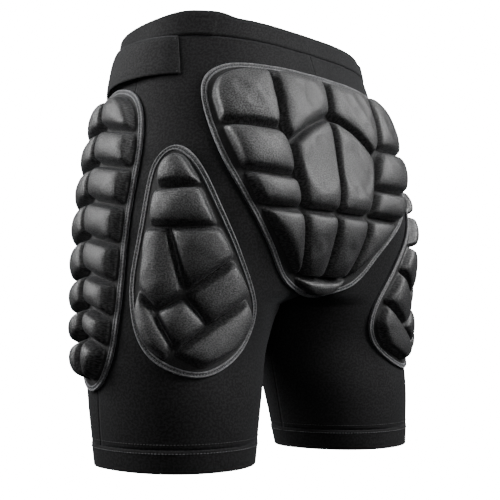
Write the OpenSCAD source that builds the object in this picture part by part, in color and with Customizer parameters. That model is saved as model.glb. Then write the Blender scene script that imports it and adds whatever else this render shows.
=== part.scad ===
// Padded impact shorts, standing on their two leg hems as if worn.
// X runs to the wearer's left, Y to the wearer's back, Z up; millimetres.
// Every fabric piece and pad is laid on one body surface. A place on it is [s, z]: s is the
// distance round the body from the outer side line, positive to the back, and z is the height.

/* [Body] */
// Height from the hems to the waist edge
body_height = 450; // [435:1:465]
// Width across the thighs, without pads
body_width = 408; // [392:1:424]
// Depth through the trunk, without pads
body_depth = 234; // [226:1:242]

/* [Fabric] */
// Thickness of the knit shell
knit = 2; // [1.6:0.1:2.4]
// Height of the folded waistband
waistband_height = 25; // [22:1:28]
// Height of each folded leg hem
hem_height = 22; // [18:1:24]
// Extra thickness of the hem fold over the shell
hem_fold = 0.5; // [0.3:0.1:0.8]

/* [Pads] */
// Height of the seat pad's foam cells
seat_cell_height = 15; // [10:1:17]
// Height of the thigh pads' foam cells
thigh_cell_height = 14; // [10:1:16]
// Height of the hip pads' foam cells
hip_cell_height = 16; // [10:1:18]
// Width of the grooves between foam cells
groove = 5; // [4:0.5:7]
// Thickness of each pad's base sheet
base_sheet = 1; // [0.8:0.1:1.1]
// Radius of the raised edge binding round each pad
binding_radius = 1.2; // [1:0.1:1.4]

/* [Waist straps] */
// Height of each adjuster strap
strap_height = 43; // [38:1:44]
// Distance that each strap reaches round to the front of the side line
strap_reach = 105; // [95:1:115]
// Thickness of the strap
strap_thickness = 2.4; // [2:0.1:3]
// How far the slack strap stands off the hip at its middle
strap_bulge = 5; // [3:0.5:7]

/* [Hidden] */

SHELL = "#1b1b1d";
BAND = "#232325";
STRAP = "#17171a";
FOAM = "#2b2b2e";
BASE = "#3a3a3e";
BINDING = "#55555a";
PATCH = "#101012";

// Moves the body so that the middle of its depth is at y = 0
centre_shift = -9;

// The body surface as first drawn, 450 high, 408 wide and 234 deep:
// [z, half width, back depth, front depth, front lobe x, back lobe x]
DRAWN = [450, 408, 234];
profile = [
    [0, 197, 95, 52, 128, 117],
    [60, 203, 95, 64, 122, 117],
    [120, 204, 89, 79, 116, 112],
    [158, 199, 96, 92, 110, 98],
    [200, 194, 105, 105, 100, 95],
    [250, 189, 115, 113, 88, 94],
    [300, 181, 114, 117, 77, 76],
    [350, 170, 108, 119, 69, 42],
    [400, 158, 93, 119, 67, 25],
    [450, 146, 75, 118, 68, 25]
];
// Inner leg line: [z, x]; it runs at a steady y
inseam = [[0, 42], [60, 29], [120, 14], [158, 1]];
inseam_y = 6;
crotch = 158;
// Centre seams: [z, y], in front and behind
front_seam = [[158, 6], [175, -47], [200, -81], [240, -104], [300, -115], [350, -118], [450, -117]];
back_seam = [
    [158, 6], [166, 60], [176, 84], [190, 95], [220, 109], [255, 120],
    [300, 114.5], [350, 106], [400, 94.5], [450, 75.5]
];
roundness = 2.2;
lobe_blend = 45;
cleft_bridge = 34;
arc_steps = 14;

scale_x = body_width / DRAWN[1];
scale_y = body_depth / DRAWN[2];
scale_z = body_height / DRAWN[0];

// Distance of each layer outside the body surface
base_low = 1.2;
base_high = base_low + base_sheet;
cell_low = base_high + 1;
binding_middle = base_high + 0.5 + binding_radius;
patch_low = 0.8;
patch_thickness = 1.2;
strap_gap = 1.6;

groove_half = groove / 2;
band_low = body_height - waistband_height;

// ---------- curves and the body surface ----------

function ease(t) = let (u = min(1, max(0, t))) u * u * (3 - 2 * u);

// Slope of a table's column at row i, for a smooth curve through the rows
function slope(table, column, i) =
    let (last = len(table) - 1)
    i == 0 ? (table[1][column] - table[0][column]) / (table[1][0] - table[0][0])
    : i == last ? (table[last][column] - table[last - 1][column]) / (table[last][0] - table[last - 1][0])
    : let (
        before = table[i][0] - table[i - 1][0],
        after = table[i + 1][0] - table[i][0],
        rise = (table[i][column] - table[i - 1][column]) / before,
        next = (table[i + 1][column] - table[i][column]) / after
    ) (rise * after + next * before) / (before + after);

function row_below(table, at) =
    min(len(table) - 2, max(0, len([for (row = table) if (row[0] <= at) 1]) - 1));

// Smooth curve through a table's rows, read at one place
function curve(table, column, at) =
    let (
        i = row_below(table, at),
        span = table[i + 1][0] - table[i][0],
        t = min(1, max(0, (at - table[i][0]) / span))
    )
    (2 * pow(t, 3) - 3 * t * t + 1) * table[i][column]
    + (pow(t, 3) - 2 * t * t + t) * span * slope(table, column, i)
    + (3 * t * t - 2 * pow(t, 3)) * table[i + 1][column]
    + (pow(t, 3) - t * t) * span * slope(table, column, i + 1);

// One inner quarter of an outline, from the inner edge to the lobe's crown
function inner_quarter(inner_x, inner_y, lobe_x, depth, merge) = [
    for (i = [0:arc_steps])
        let (
            angle = 90 * (1 - i / arc_steps),
            round_rise = 1 - cos(angle),
            soft_rise = (1 - cos(180 * sin(angle))) / 2,
            rise = (1 - merge) * round_rise + merge * soft_rise
        )
        [lobe_x - (lobe_x - inner_x) * sin(angle), depth + (inner_y - depth) * rise]
];

// One outer quarter, from the lobe's crown to the side line
function outer_quarter(half_width, lobe_x, depth) = [
    for (i = [0:arc_steps])
        let (angle = 90 * i / arc_steps)
        [lobe_x + (half_width - lobe_x) * pow(sin(angle), 2 / roundness),
         depth * pow(cos(angle), 2 / roundness)]
];

function tail(list) = [for (i = [1:len(list) - 1]) list[i]];
function backwards(list) = [for (i = [len(list) - 1:-1:0]) list[i]];

// Half outline at height z, as drawn: inner front, round the side line, to inner back
function outline(z) =
    let (
        half_width = curve(profile, 1, z),
        back = curve(profile, 2, z),
        front = -curve(profile, 3, z),
        front_lobe = curve(profile, 4, z),
        back_lobe = curve(profile, 5, z),
        leg = z <= crotch,
        inner_x = leg ? curve(inseam, 1, z) : 0,
        front_y = leg ? inseam_y : curve(front_seam, 1, z),
        back_y = leg ? inseam_y : curve(back_seam, 1, z),
        merge = leg ? 0 : ease((z - crotch) / lobe_blend)
    )
    concat(
        inner_quarter(inner_x, front_y, front_lobe, front, merge),
        tail(outer_quarter(half_width, front_lobe, front)),
        tail(backwards(outer_quarter(half_width, back_lobe, back))),
        tail(backwards(inner_quarter(inner_x, back_y, back_lobe, back, merge)))
    );

// Distance of each outline point from the side line
function distances(points) =
    let (
        steps = [for (i = [0:len(points) - 1]) i == 0 ? 0 : norm(points[i] - points[i - 1])],
        sums = [for (i = 0, total = 0; i < len(steps); i = i + 1,
                     total = total + (i < len(steps) ? steps[i] : 0)) total]
    )
    [for (value = sums) value - sums[2 * arc_steps]];

function along(points, marks, s) =
    let (
        i = min(len(points) - 2, max(0, len([for (mark = marks) if (mark <= s) 1]) - 1)),
        t = (s - marks[i]) / (marks[i + 1] - marks[i])
    )
    points[i] * (1 - t) + points[i + 1] * t;

// Point at s on an outline; past an end it goes on round the leg, or over to the other half
function walk(points, marks, s, leg) =
    let (front = marks[0], back = marks[len(marks) - 1])
    s > back ? (leg ? along(points, marks, front + s - back)
                    : flip_x(along(points, marks, 2 * back - s)))
    : s < front ? (leg ? along(points, marks, back - (front - s))
                       : flip_x(along(points, marks, 2 * front - s)))
    : along(points, marks, s);

function flip_x(p) = [-p[0], p[1]];
function back_length(z) = let (marks = distances(outline(z))) marks[len(marks) - 1];
function front_length(z) = -distances(outline(z))[0];

// Points at one drawn height z, at each s, each at its own distance off the surface
function strip(z, places, offsets) =
    let (
        probe = 2,
        here = outline(z),
        here_marks = distances(here),
        over = outline(z + probe),
        over_marks = distances(over),
        under = outline(z - probe),
        under_marks = distances(under)
    )
    [for (i = [0:len(places) - 1])
        let (
            s = places[i],
            p = walk(here, here_marks, s, z <= crotch),
            ahead = walk(here, here_marks, s + probe, z <= crotch),
            behind = walk(here, here_marks, s - probe, z <= crotch),
            above = walk(over, over_marks, s, z + probe <= crotch),
            below = walk(under, under_marks, s, z - probe <= crotch),
            out = cross(
                [ahead[0] - behind[0], ahead[1] - behind[1], 0],
                [above[0] - below[0], above[1] - below[1], 2 * probe]
            ),
            q = [p[0], p[1], z] + out / norm(out) * offsets[i]
        )
        [q[0] * scale_x, q[1] * scale_y + centre_shift, q[2] * scale_z]
    ];

function same(value, count) = [for (i = [1:count]) value];

// A place on the side pads, [s, z], and one on the seat pad, where s runs from the back seam
function side_point(place, offset) = strip(place[1], [place[0]], [offset])[0];
// The seat pad bridges the cleft low down, this far to each side of the back seam
function bridge(z) = cleft_bridge * (1 - ease((z - crotch) / lobe_blend));
function seat_point(place, offset) =
    let (
        z = place[1],
        u = abs(place[0]),
        reach = bridge(z),
        share = u < reach ? u / reach : 1,
        p = strip(z, [back_length(z) - max(u, reach)], [offset])[0]
    )
    [(place[0] < 0 ? -1 : 1) * share * p[0], p[1], p[2]];
function lift(place, offset, seat) = seat ? seat_point(place, offset) : side_point(place, offset);

// ---------- solids built on the surface ----------

// Longest side of a facet on a cell's outline and on a base sheet's, and the sheet's rings of facets
cell_facet = 20;
base_facet = 18;
base_rings = 7;

function grid_faces(rows, columns, first, inside) = [
    for (i = [0:rows - 2], j = [0:columns - 2])
        let (a = first + i * columns + j, b = a + 1, c = b + columns, d = a + columns)
        each (inside ? [[a, b, c], [a, c, d]] : [[a, c, b], [a, d, c]])
];

// Closed panel between two grids of points
module panel(outer, inner) {
    rows = len(outer);
    columns = len(outer[0]);
    count = rows * columns;
    edge = concat(
        [for (j = [0:columns - 2]) j],
        [for (i = [0:rows - 2]) i * columns + columns - 1],
        [for (j = [columns - 1:-1:1]) (rows - 1) * columns + j],
        [for (i = [rows - 1:-1:1]) i * columns]
    );
    walls = [
        for (k = [0:len(edge) - 1])
            let (a = edge[k], b = edge[(k + 1) % len(edge)])
            each [[a, b, b + count], [a, b + count, a + count]]
    ];
    polyhedron(
        points = concat([for (row = outer) each row], [for (row = inner) each row]),
        faces = concat(grid_faces(rows, columns, 0, false), grid_faces(rows, columns, count, true), walls)
    );
}

// Closed ring: a list of loops of points, joined one to the next and the last to the first
module ring(loops) {
    sides = len(loops);
    stations = len(loops[0]);
    polyhedron(
        points = [for (loop = loops) each loop],
        faces = [
            for (k = [0:sides - 1], i = [0:stations - 1])
                let (
                    m = (k + 1) % sides,
                    n = (i + 1) % stations,
                    a = k * stations + i,
                    b = k * stations + n,
                    c = m * stations + n,
                    d = m * stations + i
                )
                each [[a, c, b], [a, d, c]]
        ]
    );
}

// Closed lump: an underside point, rings of points from low to high, and a top point
module lump(low, rings, high) {
    stations = len(rings[0]);
    top = len(rings) * stations + 1;
    polyhedron(
        points = concat([low], [for (r = rings) each r], [high]),
        faces = concat(
            [for (i = [0:stations - 1]) [0, 1 + i, 1 + (i + 1) % stations]],
            [for (k = [0:len(rings) - 2], i = [0:stations - 1])
                let (
                    n = (i + 1) % stations,
                    a = 1 + k * stations + i,
                    b = 1 + k * stations + n,
                    c = b + stations,
                    d = a + stations
                )
                each [[a, c, b], [a, d, c]]],
            [for (i = [0:stations - 1])
                [top, top - stations + (i + 1) % stations, top - stations + i]]
        )
    );
}

function middle(places) = [for (k = [0:1]) [for (p = places) p[k]] * same(1, len(places)) / len(places)];
function shrink(places, share) = let (m = middle(places)) [for (p = places) m + share * (p - m)];
function area(places) = [
    for (i = [0:len(places) - 1])
        let (p = places[i], q = places[(i + 1) % len(places)]) p[0] * q[1] - p[1] * q[0]
] * same(0.5, len(places));
// The same places, in the turning sense that faces outwards
function facing(places, seat) = (area(places) > 0) != seat ? places : backwards(places);

// Smooth closed curve through a few places
function loop_through(places, steps) = [
    for (i = [0:len(places) - 1], k = [0:steps - 1])
        let (
            n = len(places),
            a = places[(i + n - 1) % n],
            b = places[i],
            c = places[(i + 1) % n],
            d = places[(i + 2) % n],
            t = k / steps
        )
        0.5 * (2 * b + (c - a) * t + (2 * a - 5 * b + 4 * c - d) * t * t
               + (3 * b - a - 3 * c + d) * pow(t, 3))
];

// Straight-sided shape with each side cut into steps no longer than a limit
function divided(places, limit) = [
    for (i = [0:len(places) - 1])
        let (
            p = places[i],
            q = places[(i + 1) % len(places)],
            steps = max(1, ceil(norm(q - p) / limit))
        )
        for (k = [0:steps - 1]) p + (q - p) * k / steps
];

// Thin sheet under a pad
module pad_base(shape, seat) {
    places = facing(divided(shape, base_facet), seat);
    shares = spread(1 / base_rings, 1, base_rings);
    low = [for (share = shares) [for (p = shrink(places, share)) lift(p, base_low, seat)]];
    high = [for (share = backwards(shares)) [for (p = shrink(places, share)) lift(p, base_high, seat)]];
    lump(lift(middle(places), base_low, seat), concat(low, high), lift(middle(places), base_high, seat));
}

// One foam cell with a rounded crown; each step is [share of its outline, share of its height]
module pad_cell(shape, cell_height, seat) {
    places = facing(divided(shape, cell_facet), seat);
    steps = [[0.5, 0], [1, 0], [0.95, 0.65], [0.76, 1]];
    rings = [
        for (step = steps)
            [for (p = shrink(places, step[0])) lift(p, cell_low + step[1] * (cell_height - 1), seat)]
    ];
    lump(lift(middle(places), cell_low, seat), rings, lift(middle(places), cell_low + cell_height, seat));
}

// Raised cord round a pad's edge, four-sided
module pad_binding(shape, seat) {
    places = facing(divided(shape, base_facet), seat);
    m = middle(places);
    inset = 2.5;
    section = [[0, 1], [1, 0], [0, -1], [-1, 0]];
    ring([
        for (corner = section)
            [for (p = places)
                lift(p - (inset + corner[0] * binding_radius) * (p - m) / norm(p - m),
                     binding_middle + corner[1] * binding_radius, seat)]
    ]);
}

// ---------- pad patterns ----------

function mirrored(places) = [for (p = places) [-p[0], p[1]]];

seat_side = [[60, 397], [118, 391], [145, 365], [143, 310], [121, 258], [84, 214], [50, 178]];
seat_shape = loop_through(concat([[0, 398]], seat_side, [[0, 167]], backwards(mirrored(seat_side))), 2);
// The cells of one half, from the waist down; g keeps each one clear of the grooves
g = groove_half;
seat_cells = [
    [[g, 389], [71 - g, 388], [73 - g, 330], [66 - g, 319], [34, 337 + g], [g, 350 + g]],
    [[71 + g, 388], [108, 384], [127, 375], [136, 358], [134, 326 + g], [73 + g, 326 + g]],
    [[73 + g, 326 - g], [132, 326 - g], [120, 281 + g], [59 + g, 281 + g], [65 + g, 310]],
    [[59 + g, 281 - g], [118, 281 - g], [105, 250 + g], [51 + g, 251 + g]],
    [[g, 350 - g], [34, 337 - g], [63 - g, 315 - g], [59 - g, 285], [49 - g, 251 + g], [g, 251 + g]],
    [[49 + g, 251 - g], [99, 250 - g], [72, 222], [40, 189], [37, 189]],
    [[g, 251 - g], [49 - g, 251 - g], [43, 220], [34 - g, 189], [g, 189]]
];
seat_tip_cell = [[-36, 183], [-20, 175], [0, 172], [20, 175], [36, 183]];

thigh_shape = loop_through([
    [72, 305], [50, 290], [44, 240], [37, 165], [60, 108], [108, 87], [154, 109], [168, 148], [143, 203], [102, 279]
], 2);
thigh_cells = [
    [[61, 266], [61, 286], [70, 295], [79, 293], [97, 268]],
    [[57, 230], [59, 260], [100, 261], [115, 230]],
    [[53, 224], [73, 224], [81, 186], [86, 167], [67, 152], [50, 170]],
    [[78, 224], [119, 225], [132, 201], [92, 171], [86, 188]],
    [[93, 164], [133, 195], [151, 166], [112, 138]],
    [[68, 146], [89, 158], [109, 136], [86, 115]],
    [[113, 133], [150, 159], [158, 142], [145, 114], [111, 97], [87, 109]],
    [[49, 165], [65, 144], [81, 116], [76, 105], [57, 119], [47, 144]]
];

// The hip pad is alike on both sides of a middle line that leans back towards the knee
function hip_middle(z) = -38 + 30 * ease((260 - z) / 170);
hip_edge = [
    [72, -3], [80, 8], [98, 20], [140, 27], [190, 26], [240, 28], [290, 31], [330, 26], [358, 13],
    [372, -6], [379, -36]
];
hip_flange = 9;
hip_back = [for (z = [80, 98, 120, 165, 210, 255, 300, 335, 358, 372]) [curve(hip_edge, 1, z), z]];
hip_front = [for (p = hip_back) [2 * hip_middle(p[1]) - p[0], p[1]]];
hip_shape = concat([[-8, 73]], hip_back, [[-38, 379]], backwards(hip_front));
hip_rows = [335, 298, 261, 224, 187, 154, 126];
hip_droop = 12;
function hip_cell_edge(z) = curve(hip_edge, 1, z) - hip_flange;
function hip_inner(z) = hip_middle(z) + g;
hip_top_cell = [
    [hip_inner(368), 368], [-11, 366], [8, 351], [hip_cell_edge(328), 328 + g - hip_droop / 2],
    [hip_inner(338), 335 + g]
];
hip_tip_cell = [
    [hip_inner(126), 126 - g], [hip_cell_edge(114), 114 - g], [hip_cell_edge(97), 97],
    [hip_cell_edge(88), 88], [hip_inner(84), 84]
];
hip_middle_cells = [
    for (i = [0:len(hip_rows) - 2])
        let (high = hip_rows[i] - g, low = hip_rows[i + 1] + g)
        [[hip_inner(high), high], [hip_cell_edge(high - hip_droop), high - hip_droop],
         [hip_cell_edge(low - hip_droop), low - hip_droop], [hip_inner(low), low]]
];
hip_back_cells = concat([hip_top_cell], hip_middle_cells, [hip_tip_cell]);
function to_front(places) = [for (p = places) [2 * hip_middle(p[1]) - p[0], p[1]]];

// ---------- fabric pieces ----------

panel_columns = 17;
gusset_levels = [106, 120, 134, 147, 158, 161, 165, 170, 176, 184, 193, 203, 214];
panel_levels = concat(
    [hem_height / scale_z, 50, 78],
    gusset_levels,
    [228, 244, 262, 282, 304, 328, 352, 376, 400, band_low / scale_z]
);
gusset_half = 28;
gusset_reach = 58;
// Room for the stitches round each of the gusset's quarters
gusset_seam = 0.3;
// Half width of the diamond gusset, measured along the surface from the crotch seams
function gusset_edge(z) = max(0, gusset_half * (1 - pow(abs(z - crotch) / gusset_reach, 1.5)));

function spread(from, to, count) = [for (i = [0:count - 1]) from + (to - from) * i / (count - 1)];

// Part of the knit shell in front of or behind the side line
module shell_panel(front) {
    module_rows = [
        for (z = panel_levels)
            let (inner = (front ? front_length(z) : back_length(z)) - gusset_edge(z))
            [z, front ? spread(-inner, 0, panel_columns) : spread(0, inner, panel_columns)]
    ];
    color(SHELL)
        panel(
            [for (row = module_rows) strip(row[0], row[1], same(0, panel_columns))],
            [for (row = module_rows) strip(row[0], row[1], same(-knit, panel_columns))]
        );
}

// Quarter of the diamond panel between the legs
module gusset_quarter(front) {
    columns = 3;
    quarter_rows = [
        for (z = gusset_levels)
            let (
                length = front ? front_length(z) : back_length(z),
                inner = length - gusset_edge(z) + gusset_seam,
                end = length - gusset_seam
            )
            [z, front ? spread(-end, -inner, columns) : spread(inner, end, columns)]
    ];
    panel(
        [for (row = quarter_rows) strip(row[0], row[1], same(0, columns))],
        [for (row = quarter_rows) strip(row[0], row[1], same(-knit, columns))]
    );
}

module crotch_gusset() {
    color(SHELL)
        for (side = [0, 1])
            mirror([side, 0, 0]) {
                gusset_quarter(true);
                gusset_quarter(false);
            }
}

half_stations = 9;
// Shares of the way round one half: -1 is the inner front end, 0 the side line, 1 the inner back end
half_shares = concat(spread(-1, 0, half_stations), tail(spread(0, 1, half_stations)));
function places_at(z, shares) =
    let (front = front_length(z), back = back_length(z))
    [for (share = shares) share < 0 ? share * front : share * back];

function level(points, height) = [for (p = points) [p[0], p[1], height]];

// Loop round the waist at one height and distance off the surface, from the front seam
function waist_loop(height, offset) =
    let (
        z = height / scale_z,
        half = level(strip(z, places_at(z, half_shares), same(offset, len(half_shares))), height),
        last = len(half) - 1
    )
    concat(half, [for (i = [last - 1:-1:1]) [-half[i][0], half[i][1], half[i][2]]]);

// Loop round one leg at one height
function leg_loop(height, offset) =
    let (
        z = height / scale_z,
        shares = [for (i = [0:len(half_shares) - 2]) half_shares[i]]
    )
    level(strip(z, places_at(z, shares), same(offset, len(shares))), height);

casing_wall = 1.2;
casing_depth = 4.8;
elastic_gap = 0.6;

// Folded casing, open at its lower edge, round the whole waist
module waistband() {
    low = band_low;
    high = body_height;
    fold = high - casing_wall;
    section = [
        [0, low], [0, high], [-casing_depth, high], [-casing_depth, low],
        [casing_wall - casing_depth, low], [casing_wall - casing_depth, fold],
        [-casing_wall, fold], [-casing_wall, low]
    ];
    color(BAND) ring([for (corner = section) waist_loop(corner[1], corner[0])]);
}

// Elastic band inside the casing
module waist_elastic() {
    outer = -casing_wall - elastic_gap;
    inner = casing_wall + elastic_gap - casing_depth;
    low = band_low + 1;
    high = body_height - casing_wall - elastic_gap;
    section = [[outer, low], [outer, high], [inner, high], [inner, low]];
    color("dimgray") ring([for (corner = section) waist_loop(corner[1], corner[0])]);
}

// Folded hem of one leg
module leg_hem() {
    section = [[hem_fold, 0], [hem_fold, hem_height], [-knit - hem_fold, hem_height], [-knit - hem_fold, 0]];
    color(BAND) ring([for (corner = section) leg_loop(corner[1], corner[0])]);
}

// ---------- waist straps ----------

strap_high = band_low - 0.5;
strap_low = strap_high - strap_height;
strap_end_high = 41;
strap_end_low = 54;
strap_columns = 12;
strap_rows = 4;

// Distance of the strap's inner face off the surface, from its sewn end to its free end
function strap_offset(share) =
    strap_gap
    + strap_bulge * pow(sin(180 * min(1, share * 1.15)), 2)
    + 2.2 * ease((share - 0.35) / 0.3);

module waist_strap() {
    levels = spread(strap_low / scale_z, strap_high / scale_z, strap_rows);
    shares = spread(0, 1, strap_columns);
    function strap_places(z) =
        let (t = (z - levels[0]) / (levels[strap_rows - 1] - levels[0]))
        [for (share = backwards(shares))
            let (end = strap_end_low + (strap_end_high - strap_end_low) * t)
            end + (-strap_reach - end) * share];
    inner = [for (share = backwards(shares)) strap_offset(share)];
    outer = [for (offset = inner) offset + strap_thickness];
    color(STRAP)
        panel(
            [for (z = levels) strip(z, strap_places(z), outer)],
            [for (z = levels) strip(z, strap_places(z), inner)]
        );
}

patch_margin = 4;
patch_length = 38;
patch_columns = 4;

// Patch of fastener under the strap's free end, at a distance off the surface
module fastener_patch(offset) {
    levels = spread((strap_low + patch_margin) / scale_z, (strap_high - patch_margin) / scale_z, 3);
    places = spread(patch_margin - strap_reach, patch_margin + patch_length - strap_reach, patch_columns);
    color(PATCH)
        panel(
            [for (z = levels) strip(z, places, same(offset + patch_thickness, patch_columns))],
            [for (z = levels) strip(z, places, same(offset, patch_columns))]
        );
}

// ---------- named pieces ----------

module right() mirror([1, 0, 0]) children();

module shell_front_left() shell_panel(true);
module shell_front_right() right() shell_panel(true);
module shell_rear_left() shell_panel(false);
module shell_rear_right() right() shell_panel(false);
module hem_left() leg_hem();
module hem_right() right() leg_hem();
module waist_strap_left() waist_strap();
module waist_strap_right() right() waist_strap();
module strap_hook_left() fastener_patch(patch_low + patch_thickness + 0.2);
module strap_hook_right() right() strap_hook_left();
module strap_loop_left() fastener_patch(patch_low);
module strap_loop_right() right() strap_loop_left();

module seat_pad_base() color(BASE) pad_base(seat_shape, true);
module seat_pad_cells() {
    color(FOAM) {
        for (shape = seat_cells) {
            pad_cell(shape, seat_cell_height, true);
            pad_cell(mirrored(shape), seat_cell_height, true);
        }
        pad_cell(seat_tip_cell, seat_cell_height / 2, true);
    }
}
module seat_pad_binding() color(BINDING) pad_binding(seat_shape, true);

module thigh_pad_base_left() color(BASE) pad_base(thigh_shape, false);
module thigh_pad_base_right() right() thigh_pad_base_left();
module thigh_pad_cells_left() color(FOAM) for (shape = thigh_cells) pad_cell(shape, thigh_cell_height, false);
module thigh_pad_cells_right() right() thigh_pad_cells_left();
module thigh_pad_binding_left() color(BINDING) pad_binding(thigh_shape, false);
module thigh_pad_binding_right() right() thigh_pad_binding_left();

module hip_pad_base_left() color(BASE) pad_base(hip_shape, false);
module hip_pad_base_right() right() hip_pad_base_left();
module hip_pad_cells_left() {
    color(FOAM)
        for (shape = hip_back_cells) {
            pad_cell(shape, hip_cell_height, false);
            pad_cell(to_front(shape), hip_cell_height, false);
        }
}
module hip_pad_cells_right() right() hip_pad_cells_left();
module hip_pad_binding_left() color(BINDING) pad_binding(hip_shape, false);
module hip_pad_binding_right() right() hip_pad_binding_left();

shell_front_left();
shell_front_right();
shell_rear_left();
shell_rear_right();
crotch_gusset();
waistband();
waist_elastic();
hem_left();
hem_right();
waist_strap_left();
waist_strap_right();
strap_hook_left();
strap_hook_right();
strap_loop_left();
strap_loop_right();
seat_pad_base();
seat_pad_cells();
seat_pad_binding();
thigh_pad_base_left();
thigh_pad_base_right();
thigh_pad_cells_left();
thigh_pad_cells_right();
thigh_pad_binding_left();
thigh_pad_binding_right();
hip_pad_base_left();
hip_pad_base_right();
hip_pad_cells_left();
hip_pad_cells_right();
hip_pad_binding_left();
hip_pad_binding_right();
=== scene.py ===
"""Padded impact shorts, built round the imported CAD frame.

Flat places are (s, z) in millimetres: s is the distance round the body from the outer side
line, positive to the back, and z is the height over the hems. A seat place is (u, z), where u
is the distance from the back seam. Everything is laid on one body surface, as in the CAD. The
wearer's left side is drawn, and mirrored pieces make the right one.
"""

import math

import bpy
import numpy as np
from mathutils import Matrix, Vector


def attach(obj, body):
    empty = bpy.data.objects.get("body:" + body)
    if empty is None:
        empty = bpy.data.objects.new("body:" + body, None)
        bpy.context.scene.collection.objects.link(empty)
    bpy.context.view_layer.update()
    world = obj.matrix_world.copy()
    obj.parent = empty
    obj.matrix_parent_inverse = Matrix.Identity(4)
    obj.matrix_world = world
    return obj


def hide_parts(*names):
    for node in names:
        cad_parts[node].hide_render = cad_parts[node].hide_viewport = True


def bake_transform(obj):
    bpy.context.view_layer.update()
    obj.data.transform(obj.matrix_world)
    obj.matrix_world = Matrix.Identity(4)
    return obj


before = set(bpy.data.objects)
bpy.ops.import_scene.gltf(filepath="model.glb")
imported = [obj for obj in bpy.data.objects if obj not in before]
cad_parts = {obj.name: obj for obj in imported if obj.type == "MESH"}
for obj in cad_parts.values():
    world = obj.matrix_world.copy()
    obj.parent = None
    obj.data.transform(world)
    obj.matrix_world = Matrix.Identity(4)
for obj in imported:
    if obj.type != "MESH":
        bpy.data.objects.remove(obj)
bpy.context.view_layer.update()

MM = 0.001
CENTRE_SHIFT = -9.0

# ---------- the body surface ----------

# height, half width, back depth, front depth, front lobe x, back lobe x
PROFILE = [
    (0, 197, 95, 52, 128, 117), (60, 203, 95, 64, 122, 117), (120, 204, 89, 79, 116, 112),
    (158, 199, 96, 92, 110, 98), (200, 194, 105, 105, 100, 95), (250, 189, 115, 113, 88, 94),
    (300, 181, 114, 117, 77, 76), (350, 170, 108, 119, 69, 42), (400, 158, 93, 119, 67, 25),
    (450, 146, 75, 118, 68, 25),
]
INSEAM = [(0, 42), (60, 29), (120, 14), (158, 1)]
FRONT_SEAM = [(158, 6), (175, -47), (200, -81), (240, -104), (300, -115), (350, -118), (450, -117)]
BACK_SEAM = [
    (158, 6), (166, 60), (176, 84), (190, 95), (220, 109), (255, 120),
    (300, 114.5), (350, 106), (400, 94.5), (450, 75.5),
]
INSEAM_Y = 6.0
CROTCH = 158.0
ROUNDNESS = 2.2
LOBE_BLEND = 45.0
CLEFT_BRIDGE = 34.0
ARC_STEPS = 36
# The survey's lowest and highest rows, its side places to each side, and the step of its slopes
LOWEST, HIGHEST = -4, 454
HEIGHTS = np.arange(LOWEST, HIGHEST + 1, dtype=float)
REACH = 330
PROBE = 2


def ease(t):
    t = np.clip(t, 0.0, 1.0)
    return t * t * (3 - 2 * t)


def curve(table, column, at):
    """Smooth curve through a table's rows, read at the places in at."""
    rows = np.asarray(table, float)
    x, y = rows[:, 0], rows[:, column]
    span = np.diff(x)
    rise = np.diff(y) / span
    slope = np.empty(len(x))
    slope[0], slope[-1] = rise[0], rise[-1]
    slope[1:-1] = (rise[:-1] * span[1:] + rise[1:] * span[:-1]) / (span[:-1] + span[1:])
    at = np.asarray(at, float)
    i = np.clip(np.searchsorted(x, at, side="right") - 1, 0, len(x) - 2)
    t = np.clip((at - x[i]) / span[i], 0, 1)
    return (
        (2 * t**3 - 3 * t**2 + 1) * y[i]
        + (t**3 - 2 * t**2 + t) * span[i] * slope[i]
        + (3 * t**2 - 2 * t**3) * y[i + 1]
        + (t**3 - t**2) * span[i] * slope[i + 1]
    )


def outlines(z):
    """Half outline at each height: inner front, round the side line, to inner back."""
    z = z[:, None]
    half_width = curve(PROFILE, 1, z)
    back = curve(PROFILE, 2, z)
    front = -curve(PROFILE, 3, z)
    front_lobe = curve(PROFILE, 4, z)
    back_lobe = curve(PROFILE, 5, z)
    leg = z <= CROTCH
    inner_x = np.where(leg, curve(INSEAM, 1, z), 0.0)
    front_y = np.where(leg, INSEAM_Y, curve(FRONT_SEAM, 1, z))
    back_y = np.where(leg, INSEAM_Y, curve(BACK_SEAM, 1, z))
    merge = np.where(leg, 0.0, ease((z - CROTCH) / LOBE_BLEND))
    turn = np.linspace(0, math.pi / 2, ARC_STEPS + 1)[None, :]
    inward = np.sin(turn[:, ::-1])
    rise = (1 - merge) * (1 - np.cos(turn[:, ::-1])) + merge * (1 - np.cos(math.pi * inward)) / 2
    bend = 2 / ROUNDNESS

    def inner(lobe, depth, inner_y):
        return lobe - (lobe - inner_x) * inward, depth + (inner_y - depth) * rise

    def outer(lobe, depth):
        return lobe + (half_width - lobe) * np.sin(turn) ** bend, depth * np.cos(turn) ** bend

    front_inner, front_outer = inner(front_lobe, front, front_y), outer(front_lobe, front)
    back_inner, back_outer = inner(back_lobe, back, back_y), outer(back_lobe, back)
    return [
        np.concatenate(
            [front_inner[k], front_outer[k][:, 1:], back_outer[k][:, ::-1][:, 1:],
             back_inner[k][:, ::-1][:, 1:]], axis=1)
        for k in (0, 1)
    ]


def lengths_along(path):
    """Distance of each of a path's places from its start."""
    return np.concatenate([[0], np.cumsum(np.hypot(*np.diff(path, axis=0).T))])


def unit(vectors):
    return vectors / np.maximum(np.linalg.norm(vectors, axis=-1, keepdims=True), 1e-9)


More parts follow.
